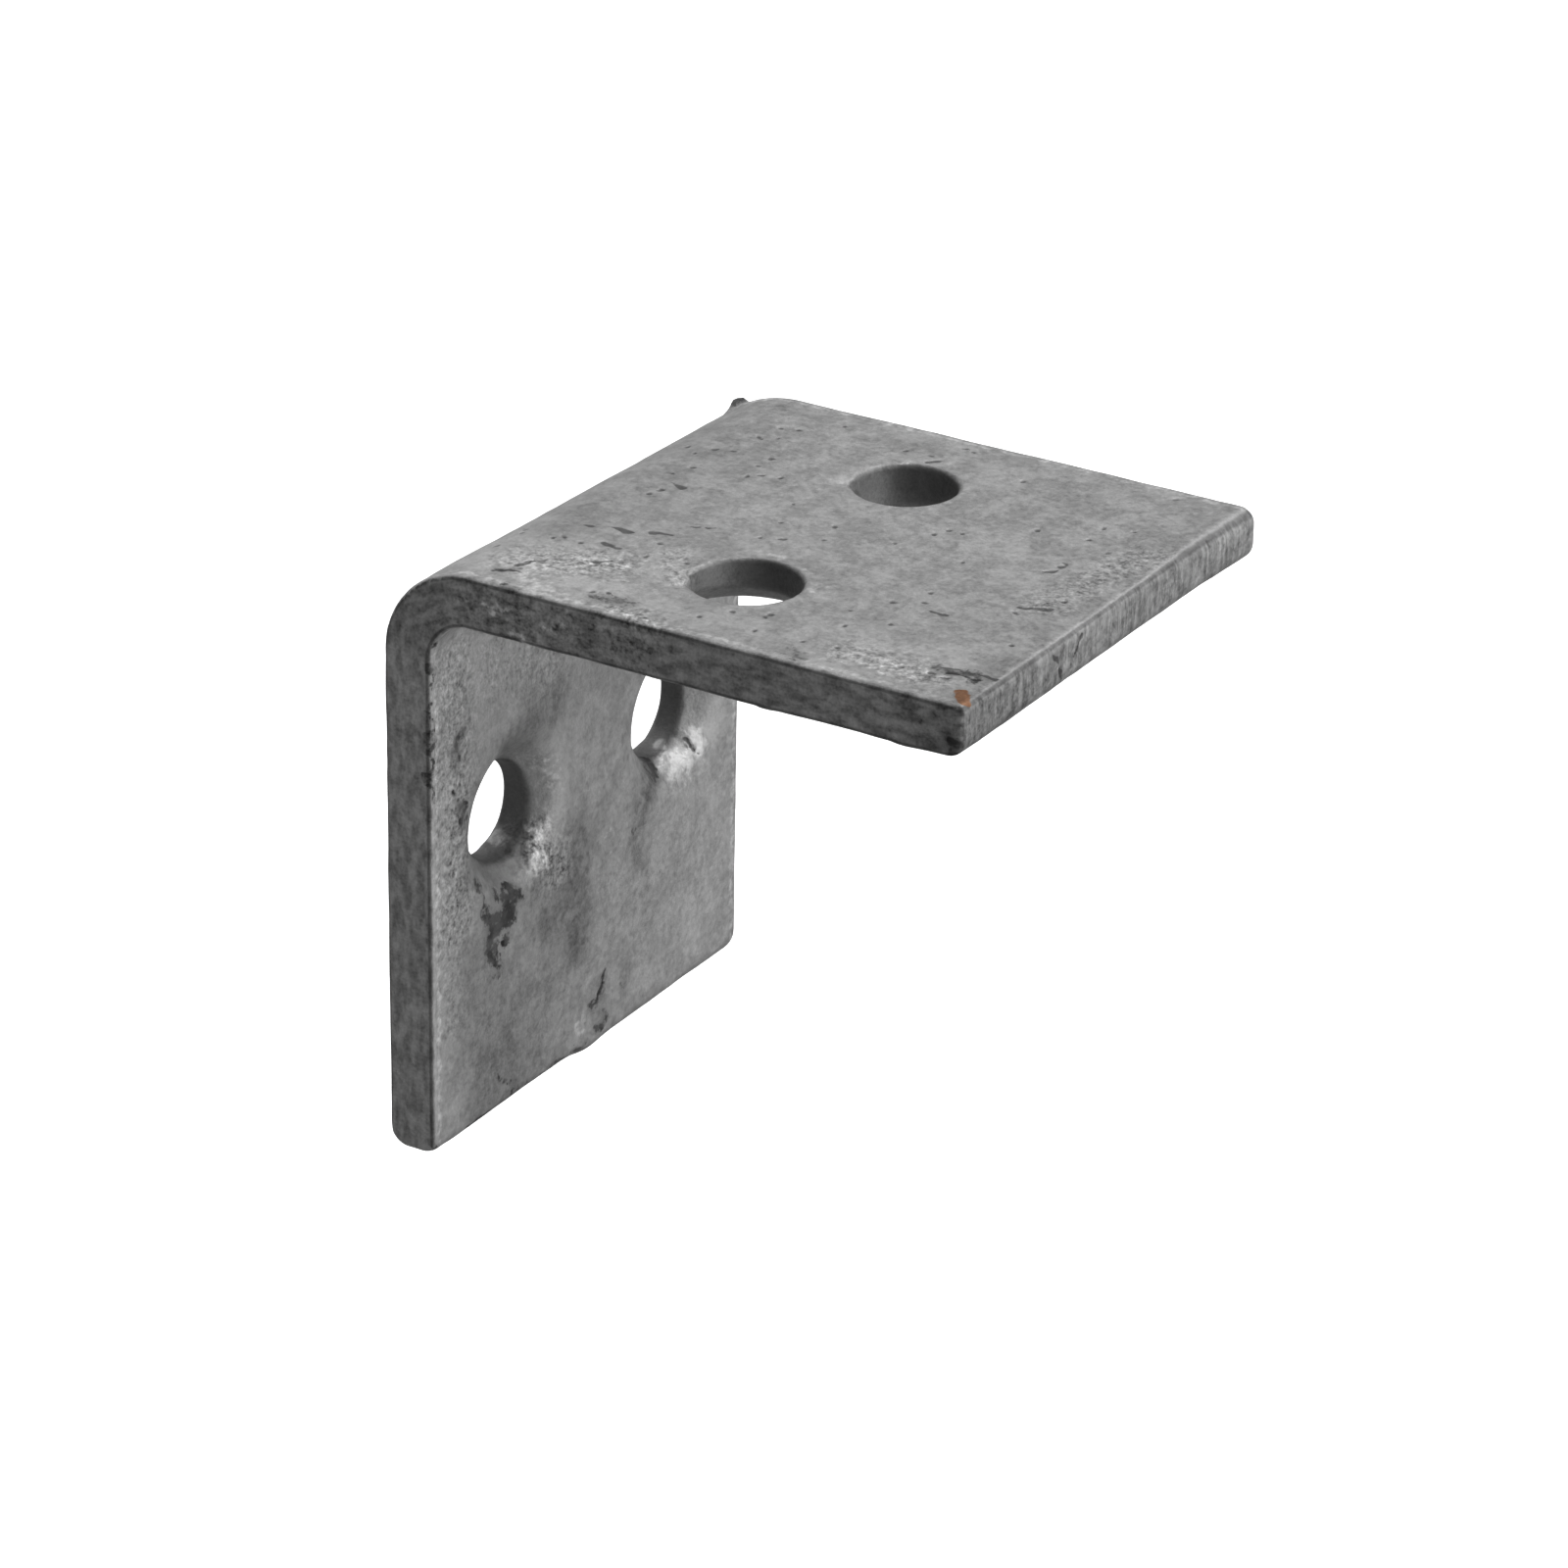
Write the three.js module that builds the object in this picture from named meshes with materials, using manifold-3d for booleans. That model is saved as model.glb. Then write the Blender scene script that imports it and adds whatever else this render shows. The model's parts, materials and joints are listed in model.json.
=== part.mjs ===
// Roof bracket: one steel flat bar folded into a right angle, with two bolt holes in each leg,
// hot-dip galvanised all over. Millimetres, +Z up.
// The origin lies on the wall face, at the middle of the bar's width and at the height of the
// hanging leg's bolt holes.
// +X points away from the wall, along the level leg, and Y runs along the fold.
import * as THREE from "three";
import { mergeVertices } from "three/addons/utils/BufferGeometryUtils.js";
import Module from "manifold-3d";

const wasm = await Module();
wasm.setup();

// Driving dimensions
const barWidth = 65;
const barThickness = 6.2; // 6 mm bar with 0.1 mm of zinc on each face
const legLength = 73.2; // from the outer corner to the end, the same on both legs
const outerBendRadius = 12.2;
const holeDiameter = 12.8; // 13 mm hole with 0.1 mm of zinc all round
const holeSpacing = 33.6;
const holeFromCorner = 37; // hole centres to the other leg's outer face
const hangingHoleShift = 1.3; // the hanging leg's pair of holes is this far off the middle, to +Y
const breakOutRadius = 9.2; // the punch broke each hole out into a cone on the inner face
const breakOutDepth = 3.2;

// Small roundings left by shearing, punching and the zinc
const endRadius = 1.7;
const sideEdgeRadius = 0.7;
const cornerRadius = 1.6;
const rimRadius = 0.9; // at each hole's outer rim

// Fineness of the facets
const arcSegments = 10;
const edgeSegments = 3;
const holeSegments = 32;
const rimSegments = 3;

const overshoot = 5; // how far a cutting tool reaches past the metal

// A geometry with its shared vertices merged and no collapsed triangles, as a solid.
function toSolid(geometry) {
  const bare = geometry.clone();
  bare.deleteAttribute("normal");
  bare.deleteAttribute("uv");
  const merged = mergeVertices(bare, 1e-5);
  const corners = merged.index.array;
  const triangles = [];
  for (let i = 0; i < corners.length; i += 3) {
    const [a, b, c] = corners.slice(i, i + 3);
    if (a !== b && b !== c && c !== a) triangles.push(a, b, c);
  }
  const mesh = new wasm.Mesh({
    numProp: 3,
    vertProperties: new Float32Array(merged.attributes.position.array),
    triVerts: new Uint32Array(triangles),
  });
  return new wasm.Manifold(mesh);
}

function toGeometry(solid) {
  const mesh = solid.getMesh();
  const geometry = new THREE.BufferGeometry();
  geometry.setAttribute("position", new THREE.BufferAttribute(mesh.vertProperties, 3));
  geometry.setIndex(new THREE.BufferAttribute(mesh.triVerts, 1));
  geometry.computeVertexNormals();
  return geometry;
}

// Side view of the folded bar, with the outer corner at (0, 0), the level leg along +x
// and the hanging leg along -y. Both free ends are rounded.
function foldedOutline() {
  const innerBendRadius = outerBendRadius - barThickness;
  const right = Math.PI / 2;
  const outline = new THREE.Shape();
  outline.absarc(endRadius, -legLength + endRadius, endRadius, 3 * right, 2 * right, true);
  outline.absarc(outerBendRadius, -outerBendRadius, outerBendRadius, 2 * right, right, true);
  outline.absarc(legLength - endRadius, -endRadius, endRadius, right, 0, true);
  outline.absarc(legLength - endRadius, -barThickness + endRadius, endRadius, 0, -right, true);
  outline.absarc(outerBendRadius, -outerBendRadius, innerBendRadius, right, 2 * right, false);
  outline.absarc(barThickness - endRadius, -legLength + endRadius, endRadius, 0, -right, true);
  outline.closePath();
  return outline;
}

// The folded bar before its holes are punched. The bevel rounds the bar's long edges.
function foldedBar() {
  const geometry = new THREE.ExtrudeGeometry(foldedOutline(), {
    depth: barWidth - 2 * sideEdgeRadius,
    curveSegments: arcSegments,
    bevelEnabled: true,
    bevelThickness: sideEdgeRadius,
    bevelSize: sideEdgeRadius,
    bevelOffset: -sideEdgeRadius,
    bevelSegments: edgeSegments,
  });
  geometry.translate(0, 0, -barWidth / 2 + sideEdgeRadius);
  geometry.rotateX(Math.PI / 2);
  return toSolid(geometry);
}

// A block with the plan of one leg, whose two outer corners are rounded. It starts behind
// the fold, so it trims only the corners at the leg's free end.
function legPlan() {
  const half = barWidth / 2;
  const plan = new THREE.Shape();
  plan.moveTo(-overshoot, half);
  plan.lineTo(-overshoot, -half);
  plan.absarc(legLength - cornerRadius, -half + cornerRadius, cornerRadius, -Math.PI / 2, 0);
  plan.absarc(legLength - cornerRadius, half - cornerRadius, cornerRadius, 0, Math.PI / 2);
  plan.closePath();
  const geometry = new THREE.ExtrudeGeometry(plan, {
    depth: legLength + 2 * overshoot,
    curveSegments: edgeSegments,
    bevelEnabled: false,
  });
  geometry.translate(0, 0, -legLength - overshoot);
  return geometry;
}

// The shape that a bolt hole takes out of a level plate whose top face is at z = 0: a rounded
// rim at the top, a round wall, and a cone that widens to the lower face.
function holeCutter() {
  const wall = holeDiameter / 2;
  const mouth = wall + rimRadius;
  const profile = [new THREE.Vector2(0, -barThickness - overshoot)];
  profile.push(new THREE.Vector2(breakOutRadius, -barThickness - overshoot));
  profile.push(new THREE.Vector2(breakOutRadius, -barThickness));
  profile.push(new THREE.Vector2(wall, -barThickness + breakOutDepth));
  for (let i = rimSegments; i >= 0; i -= 1) {
    const turn = (i / rimSegments) * (Math.PI / 2);
    const radius = mouth - rimRadius * Math.sin(turn);
    profile.push(new THREE.Vector2(radius, -rimRadius * (1 - Math.cos(turn))));
  }
  profile.push(new THREE.Vector2(mouth, overshoot));
  profile.push(new THREE.Vector2(0, overshoot));
  const geometry = new THREE.LatheGeometry(profile, holeSegments);
  geometry.rotateX(Math.PI / 2);
  return geometry;
}

// The cutter for a hole in the level leg, y from the middle of the bar's width.
function holeAt(y) {
  const cutter = holeCutter();
  cutter.translate(holeFromCorner, y, 0);
  return cutter;
}

// Turns a shape made for the level leg into the same shape on the hanging leg. Its y changes sign.
function onHangingLeg(geometry) {
  const turned = geometry.clone();
  turned.rotateX(Math.PI);
  turned.rotateY(Math.PI / 2);
  return turned;
}

function bracketPlate() {
  const plan = legPlan();
  let plate = foldedBar();
  plate = plate.intersect(toSolid(plan));
  plate = plate.intersect(toSolid(onHangingLeg(plan)));
  for (const side of [-1, 1]) {
    const y = (side * holeSpacing) / 2;
    plate = plate.subtract(toSolid(holeAt(y)));
    plate = plate.subtract(toSolid(onHangingLeg(holeAt(y - hangingHoleShift))));
  }
  return toGeometry(plate);
}

const galvanisedSteel = new THREE.MeshStandardMaterial({
  color: 0x8f9192,
  roughness: 0.55,
  metalness: 0.85,
});

const plate = new THREE.Mesh(bracketPlate(), galvanisedSteel);
plate.name = "bracket_plate";
plate.position.set(0, 0, holeFromCorner);

const roofBracket = new THREE.Group();
roofBracket.name = "roof_bracket";
roofBracket.add(plate);

export default roofBracket;
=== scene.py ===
"""The looks of a roof bracket: one folded steel flat bar with two bolt holes in each leg,
hot-dip galvanised. Surface shapes are worked out in millimetres in the bracket's own frame:
+X away from the wall, Y along the fold, +Z up, the origin on the wall face."""
import json
import math

import bmesh
import bpy
import numpy as np
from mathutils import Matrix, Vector


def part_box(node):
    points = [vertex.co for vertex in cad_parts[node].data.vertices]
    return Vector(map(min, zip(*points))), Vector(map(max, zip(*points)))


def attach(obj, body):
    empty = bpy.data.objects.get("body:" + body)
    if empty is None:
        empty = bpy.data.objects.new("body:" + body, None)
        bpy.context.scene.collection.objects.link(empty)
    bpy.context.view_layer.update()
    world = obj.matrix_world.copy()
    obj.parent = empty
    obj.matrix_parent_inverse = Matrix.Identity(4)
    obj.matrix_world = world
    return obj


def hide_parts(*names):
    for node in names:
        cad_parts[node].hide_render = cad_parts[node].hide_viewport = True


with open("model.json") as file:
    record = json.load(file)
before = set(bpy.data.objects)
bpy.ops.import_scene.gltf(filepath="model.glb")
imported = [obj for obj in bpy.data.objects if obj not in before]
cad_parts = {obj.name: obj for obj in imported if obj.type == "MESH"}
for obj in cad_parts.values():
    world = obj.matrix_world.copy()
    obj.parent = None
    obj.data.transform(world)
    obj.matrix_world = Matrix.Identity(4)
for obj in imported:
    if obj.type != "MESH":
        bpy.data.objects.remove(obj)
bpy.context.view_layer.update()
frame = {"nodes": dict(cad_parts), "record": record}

MM = 0.001
NODE = "bracket_plate"

# ---------------------------------------------------------------- sizes

# The plate's own sizes come from the frame
low, high = [np.array(corner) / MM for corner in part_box(NODE)]
mounts = {mount["name"]: mount for mount in frame["record"]["mounts"]}
openings = {room["name"]: room for room in frame["record"]["physics"]["openings"]}

thickness = mounts["inner_wall_face"]["pos_m"][0] / MM
leg_length = high[0]
top_z = high[2]
half_width = high[1]


def opening_centre(name):
    return (np.array(openings[name]["box_m"]) / MM).mean(axis=0)


# What follows is looks only, in millimetres. The fold is a little tighter at the near edge than at
# the far one.
bend_radius = 12.6  # outside, at the middle of the bar's width
bend_taper = 0.045  # how much the radius grows with each millimetre of Y

# Rounding of the bar's edges: along its sides, at the level leg's tip above and below, at the
# hanging leg's foot, and of the legs' outer corners seen square on
side_round = 0.7
tip_round = 1.0
tip_far_extra = 0.9  # more rounding at the far end of the tip's upper edge
tip_under_round = 2.2
foot_round = 2.2
tip_corner = 0.9
foot_corner = 1.7
# Rounding of the holes' outer rims, of the edge between wall and cone, and of the cones' mouths
rim_round = 0.6
throat_round = 0.5
mouth_round = 1.2
hole_reach = 14  # a hole changes the plate only within this radius

# Zinc past the nominal ends: at the tip's far corner, along the foot's far half, and in the drip
# near the middle of the foot. The foot's near half is a little short.
tip_far_bulge = 0.5
foot_far_sag = 0.4
drip_length = 0.75
drip_middle = 0.5
drip_width = 3.0
foot_near_lift = 0.1

# Size of the even quads, how sharp a bend between two faces gets finer ones, in radians, and how
# far round a scratch or pit they are finer still
voxel = 0.68
tight_bend = 0.17
fine_reach = 0.8
rim_reach = 3  # hole rims are divided once more up to this far outside the mouth
longest_step = 0.6  # for a vertex on its way to the exact surface

# ---------------------------------------------------------------- smooth random patterns


def turned(points):
    """The points in a tilted grid, so that a pattern's cells don't line up with the faces."""
    a, b = 0.61, 0.47
    about_z = np.array([[math.cos(a), -math.sin(a), 0], [math.sin(a), math.cos(a), 0], [0, 0, 1]])
    about_x = np.array([[1, 0, 0], [0, math.cos(b), -math.sin(b)], [0, math.sin(b), math.cos(b)]])
    return points @ (about_z @ about_x).T


def ripple(points, cell, seed):
    """Smooth random values between -1 and 1 that change over about one cell."""
    grid = 48
    offset = 500  # keeps the grid coordinates above 0
    lattice = np.random.default_rng(seed).uniform(-1, 1, (grid, grid, grid))
    scaled = turned(points) / cell + offset
    base = np.floor(scaled).astype(int)
    part = scaled - base
    part = part**3 * (part * (part * 6 - 15) + 10)
    total = np.zeros(len(points))
    for corner in np.ndindex(2, 2, 2):
        at = (base + corner) % grid
        weight = np.where(np.array(corner) == 1, part, 1 - part).prod(axis=1)
        total += weight * lattice[at[:, 0], at[:, 1], at[:, 2]]
    return total


def ramp(value, start, end):
    """0 before start, 1 after end, and smooth between them."""
    part = np.clip((value - start) / (end - start), 0, 1)
    return part * part * (3 - 2 * part)


def hill(distance, width):
    """1 at the middle of a mark, falling smoothly to 0 at its width."""
    return 1 - ramp(distance, 0, width)


# ---------------------------------------------------------------- the plate's shape


def round_corner(a, b, radius):
    """Signed distance to where two regions overlap, with the corner between them rounded."""
    inner = np.minimum(-radius, np.maximum(a, b))
    return inner + np.hypot(np.maximum(a + radius, 0), np.maximum(b + radius, 0))


class Hole:
    """A punched hole: a round wall under the outer face, then a cone where the punch broke out
    through the inner face. Zinc has pushed both a little off the nominal centre."""

    def __init__(self, opening, axis, neck, mouth, cone_depth, neck_shift, mouth_shift):
        self.axis = axis
        self.neck = neck
        self.mouth = mouth
        self.cone_depth = cone_depth
        self.centre = opening_centre(opening) + np.array(neck_shift)
        self.mouth_centre = opening_centre(opening) + np.array(mouth_shift)

    def on_leg(self, level):
        """Which points are on this hole's leg. level says which are on the level leg."""
        return level if self.axis == 2 else ~level

    def radius(self, points, centre):
        away = points - centre
        away[:, self.axis] = 0
        return np.linalg.norm(away, axis=1)

    def cut(self, points, depth):
        """Signed distance to the plate's metal round this hole."""
        widening = self.mouth - self.neck
        slant = math.hypot(widening, self.cone_depth)
        inside_wall = self.neck - self.radius(points, self.centre)
        inside_mouth = self.mouth - self.radius(points, self.mouth_centre)
        height = depth + thickness / 2
        inside_cone = (inside_mouth * self.cone_depth - height * widening) / slant
        walls = round_corner(inside_wall, inside_cone, throat_round)
        rim = np.where(depth > 0, rim_round, mouth_round)
        return round_corner(walls, np.abs(depth) - thickness / 2, rim)


# Opening, axis (0 is X, 2 is Z), the wall's and the mouth's radius, the cone's depth, and how far
# the wall and the mouth are off the nominal centre
HOLES = [
    Hole("wall_bolt_hole_near", 0, 5.7, 9.2, 3.5, (0, 0.55, -0.1), (0, 0.0, 0.6)),
    Hole("wall_bolt_hole_far", 0, 5.9, 9.8, 3.1, (0, 0.35, -0.1), (0, 0.6, 0.3)),
    Hole("top_bolt_hole_near", 2, 6.2, 9.4, 3.1, (-0.2, 0.3, 0), (-0.5, -0.1, 0)),
    Hole("top_bolt_hole_far", 2, 6.0, 6.7, 1.6, (0.4, -0.2, 0), (0.2, 0, 0)),
]

def along_and_depth(points):
    """Each point's distance from the outer corner along its leg, its height over the middle of
    the bar's thickness (positive on the outer side), and whether it is on the level leg."""
    outer = bend_radius + bend_taper * points[:, 1]
    right = points[:, 0] - outer
    up = points[:, 2] - top_z + outer
    in_fold = (right < 0) & (up > 0)
    level = ~in_fold & (right + up > 0)
    along = np.where(level, points[:, 0], top_z - points[:, 2])
    depth = np.where(level, points[:, 2] - top_z, -points[:, 0]) + thickness / 2
    along = np.where(in_fold, outer, along)
    depth = np.where(in_fold, np.hypot(right, up) - outer + thickness / 2, depth)
    return along, depth, level


def travel(points):
    """Distance along the middle of the bar from the middle of the fold, positive on the level
    leg."""
    outer = bend_radius + bend_taper * points[:, 1]
    right = points[:, 0] - outer
    up = points[:, 2] - top_z + outer
    turn = np.clip(np.arctan2(up, -right), 0, math.pi / 2) - math.pi / 4
    return turn * (outer - thickness / 2) + np.maximum(right, 0) - np.maximum(-up, 0)


def tip_bulge(y):
    """How far the zinc stands past the level leg's nominal end."""
    return tip_far_bulge * ramp(y, 18, 32)


def foot_sag(y):
    """How far the zinc hangs below the hanging leg's nominal end."""
    drip = drip_length * np.exp(-(((y - drip_middle) / drip_width) ** 2))
    return foot_far_sag * ramp(y, 0, 7) + drip - foot_near_lift


def tip_top_round(y):
    """Rounding of the level leg's tip above, softer towards the far side."""
    return tip_round + tip_far_extra * ramp(y, 5, 30)


def plate_distance(points):
    """Signed distance to the galvanised plate without its small lumps."""
    along, depth, level = along_and_depth(points)
    y = points[:, 1]
    end = along - leg_length - np.where(level, tip_bulge(y), foot_sag(y))
    side = np.abs(y) - half_width
    tip = np.where(depth > 0, tip_top_round(y), tip_under_round)
    bar = round_corner(end, np.abs(depth) - thickness / 2, np.where(level, tip, foot_round))
    corner = np.where(level, tip_corner, foot_corner)
    side_edge = side_round + (corner - side_round) * ramp(end, -3, 0)
    shape = round_corner(bar, side, side_edge)
    for hole in HOLES:
        near = hole.on_leg(level) & (hole.radius(points, hole.centre) < hole_reach)
        shape = np.where(near, np.maximum(shape, hole.cut(points, depth)), shape)
    return shape


def slope(points):
    """The plate's outward direction at each point."""
    reach = 0.02
    steps = []
    for axis in range(3):
        shift = np.zeros(3)
        shift[axis] = reach
        steps.append(plate_distance(points + shift) - plate_distance(points - shift))
    gradient = np.stack(steps, axis=1)
    return gradient / np.maximum(np.linalg.norm(gradient, axis=1), 1e-9)[:, None]


def snapped(points, rounds=4):
    """The points moved onto the plate's surface."""
    for _ in range(rounds):
        step = np.clip(plate_distance(points), -longest_step, longest_step)
        points = points - slope(points) * step[:, None]
    return points


# ---------------------------------------------------------------- marks, painted light and painted shade on the surface


def on_metal(*spots):
    return snapped(np.array(spots, float))


def on_top(*spots):
    return on_metal(*[(x, y, top_z) for x, y in spots])


def on_inner(*spots):
    return on_metal(*[(thickness, y, z) for y, z in spots])


def on_tip(*spots):
    return on_metal(*[(leg_length, y, z) for y, z in spots])


def on_near_side(*spots):
    return on_metal(*[(x, -half_width, z) for x, z in spots])


def on_far_side(*spots):
    return on_metal(*[(x, half_width, z) for x, z in spots])


def line_distance(points, line):
    """Each point's distance from the line through the given corners."""
    best = np.full(len(points), np.inf)
    ends = line[1:] if len(line) > 1 else line
    for start, end in zip(line, ends):
        span = end - start
        part = np.clip((points - start) @ span / max(span @ span, 1e-9), 0, 1)
        gap = np.linalg.norm(points - start - part[:, None] * span, axis=1)
        best = np.minimum(best, gap)
    return best


def wandering(points, reach, cell, seed):
    """The points pushed about smoothly, so that marks measured from them get uneven outlines."""
    pushes = [ripple(points, cell, seed + axis) for axis in range(3)]
    return points + reach * np.stack(pushes, axis=1)


# Narrow scratches and cracks in the zinc
SCRATCHES = [
    on_top((14.1, -13.1), (16.3, -12.1), (19.3, -12.0), (20.3, -12.4)),
    on_top((21.1, -10.8), (23.3, -10.1)),
    on_top((23.9, -7.0), (24.6, -6.6)),
    on_top((25.2, -6.3), (26.0, -6.0)),
    on_top((18.4, -16.1), (20.6, -16.4)),
    on_top((20.5, -20.9), (21.7, -19.7)),
    on_top((13.7, -26.6), (14.4, -24.7), (16.2, -23.1)),
    on_top((12.6, -28.7), (14.8, -27.9)),
    on_top((15.1, 2.5), (17.2, 1.9)),
    on_top((35.8, 23.9), (36.9, 25.0)),
    on_top((66.0, -24.8), (68.5, -23.9)),
    on_top((67.2, -25.4), (69.0, -25.2), (70.6, -25.6)),
    on_top((65.8, -26.4), (67.7, -26.9)),
    on_top((70.2, -24.1), (72.2, -24.2)),
    on_top((58.0, -12.5), (59.7, -12.6)),
    on_top((65.1, -6.5), (68.2, -5.1)),
    on_top((62.6, 3.3), (63.6, 4.2), (63.4, 6.8)),
    on_tip((-13.3, 36.0), (-11.8, 34.0), (-11.2, 32.2)),
    on_tip((-7.2, 35.8), (-8.8, 34.0)),
    on_inner((3.1, -27.0), (2.1, -29.2), (0.6, -30.8)),
    on_metal((4.3, 23.2, -5.6), (6.0, 24.0, -7.5)),
]
scratch_width = 0.6
scratch_depth = 0.14

# Small pits, the clearest ones where they are and the rest scattered
TOP_PITS = [
    (14.8, -1.5), (15.4, 0.3), (14.0, 13.9), (16.1, 14.5), (13.9, 5.1), (14.9, 7.9),
    (16.5, 19.5), (20.8, 15.0), (20.7, 12.2), (22.4, 9.9), (30.0, 4.8), (31.4, -0.5),
    (37.1, 2.0), (37.9, -2.1), (32.3, 25.5), (53.9, 1.0), (55.6, -17.9), (55.0, -8.4),
    (55.8, -11.0), (22.6, 28.2), (28.8, -15.7), (65.4, 18.7), (64.9, 29.8), (39.9, -24.4),
]
INNER_PITS = [
    (-28.2, 8.2), (-27.0, 7.0), (-25.6, 6.1), (-26.9, 4.1), (-24.9, 4.0), (-28.5, -0.2),
    (-28.2, -1.9), (-18.3, -14.4),
]
PITS = [on_top(spot) for spot in TOP_PITS] + [on_inner(spot) for spot in INNER_PITS]
pit_width = 0.65
pit_depth = 0.2
scattered_pit_count = 46
pit_free_radius = 8.5  # round the level leg's holes

# Raised zinc: where, how wide and how high
LUMPS = [
    (on_inner((-11.2, -6.4)), 3.4, 0.35),
    (on_inner((-8.2, -8.4)), 2.4, 0.30),
    (on_metal((5.0, 20.0, -7.8), (5.2, 22.1, -7.6)), 2.8, 0.40),
    (on_metal((4.6, 24.2, -5.1), (5.6, 24.5, -6.7)), 2.0, 0.40),
    (on_metal((0.8, -14.0, -6.0), (1.7, -12.2, -5.3)), 3.2, 0.2),
    (on_metal((0.8, 18.6, -6.3), (3.0, 20.5, -5.8)), 3.2, 0.2),
    (on_inner((-0.5, -2.0), (1.9, -4.1)), 1.4, 0.15),
    (on_top((56.1, -26.0), (60.0, -26.6), (61.7, -24.0), (65.7, -25.6)), 0.9, 0.14),
    (on_top((25.0, -10.5), (29.0, -9.5)), 1.2, 0.08),
    (on_near_side((49.5, 31.2)), 2.2, 0.18),
    (on_near_side((66.6, 31.3)), 2.6, 0.15),
    (on_far_side((5.6, 34.5), (6.1, 34.9)), 1.4, 1.0),
    (on_top((44.2, -17.5), (42.8, -12.0)), 0.9, 0.10),
    (on_top((71.3, -29.6), (72.0, -30.8)), 0.9, 0.10),
]
# Hollows: where, how wide and how deep
HOLLOWS = [
    (on_top((31.3, -20.2)), 2.6, 0.50),
    (on_top((30.6, -17.2)), 1.8, 0.30),
    (on_top((31.3, 13.4)), 2.6, 0.50),
    (on_inner((-20.8, -9.8), (-20.6, -14.5)), 1.8, 0.12),
    (on_inner((-25.9, 4.0)), 1.0, 0.20),
]

# Dark stains with ragged edges: where, how wide and how strong. The line along the hanging leg's
# foot is painted shadow.
STAINS_AND_SHADE = [
    (on_inner((-22.8, -5.0), (-22.4, -8.1), (-21.7, -10.1)), 1.4, 0.95),
    (on_inner((-19.0, -7.6), (-14.5, -10.1)), 1.4, 0.9),
    (on_inner((-16.6, -9.4), (-16.9, -11.6), (-20.0, -11.2)), 2.4, 1.25),
    (on_inner((-20.0, -11.2), (-21.4, -9.4)), 1.9, 1.2),
    (on_inner((-20.0, -11.6), (-20.7, -13.0), (-20.7, -15.6)), 2.2, 1.2),
    (on_inner((-18.3, -14.4)), 1.6, 1.0),
    (on_inner((-19.4, -16.4), (-20.4, -18.7)), 1.2, 0.9),
    # darker on the lower cone of the far wall hole
    (on_metal((3.4, 16.3, -5.5), (4.8, 15.6, -7.0)), 2.4, 1.1),
    (on_inner((-26.8, 14.8), (-27.5, 11.4)), 1.4, 1.0),
    (on_inner((-26.2, 4.4), (-25.8, 5.6)), 1.4, 1.1),
    (on_inner((-28.0, 8.3), (-26.6, 6.4)), 1.1, 0.9),
    (on_inner((-31.9, 27.5), (-32.1, 20.0), (-31.9, 9.0)), 1.0, 0.8),
    (on_inner((9.4, -11.5)), 1.4, 0.9),
    (on_inner((-8.6, -15.5)), 1.3, 0.6),
    (on_inner((3.1, -27.0), (2.1, -29.2), (0.6, -30.8)), 1.1, 0.8),
    (on_inner((3.2, -33.2), (1.7, -33.9)), 1.6, 1.1),
    (on_inner((-1.0, -34.6), (-3.5, -35.6)), 1.1, 0.9),
    # painted shadow along the lower edge of the hanging leg's inner face
    (on_inner((-31.5, -35.3), (-22.0, -35.8), (-12.0, -35.8), (-5.0, -35.6)), 1.2, 0.75),
    (on_inner((7.9, -29.0), (6.1, -31.3)), 1.2, 0.45),
    (on_inner((-20.5, -31.0), (-15.0, -35.0), (-11.0, -36.0)), 1.4, 0.5),
    (on_top((26.1, -29.2), (29.4, -28.2)), 2.2, 0.8),
    (on_top((12.6, -28.7), (14.8, -27.9)), 1.5, 0.7),
    (on_top((15.2, -31.4), (16.7, -32.3)), 1.2, 0.7),
    (on_top((66.0, -25.3), (70.0, -25.0)), 1.9, 1.0),
    (on_top((50.0, -30.0), (52.5, -31.5)), 1.8, 0.6),
    (on_far_side((5.6, 34.5), (6.1, 34.9)), 1.6, 1.3),
    (on_near_side((71.5, 33.0), (72.6, 31.0)), 1.6, 0.9),
    (on_near_side((26.5, 34.4), (29.5, 34.3)), 1.4, 0.5),
    (on_near_side((34.3, 32.7), (36.7, 32.2)), 1.8, 0.4),
]
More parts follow.
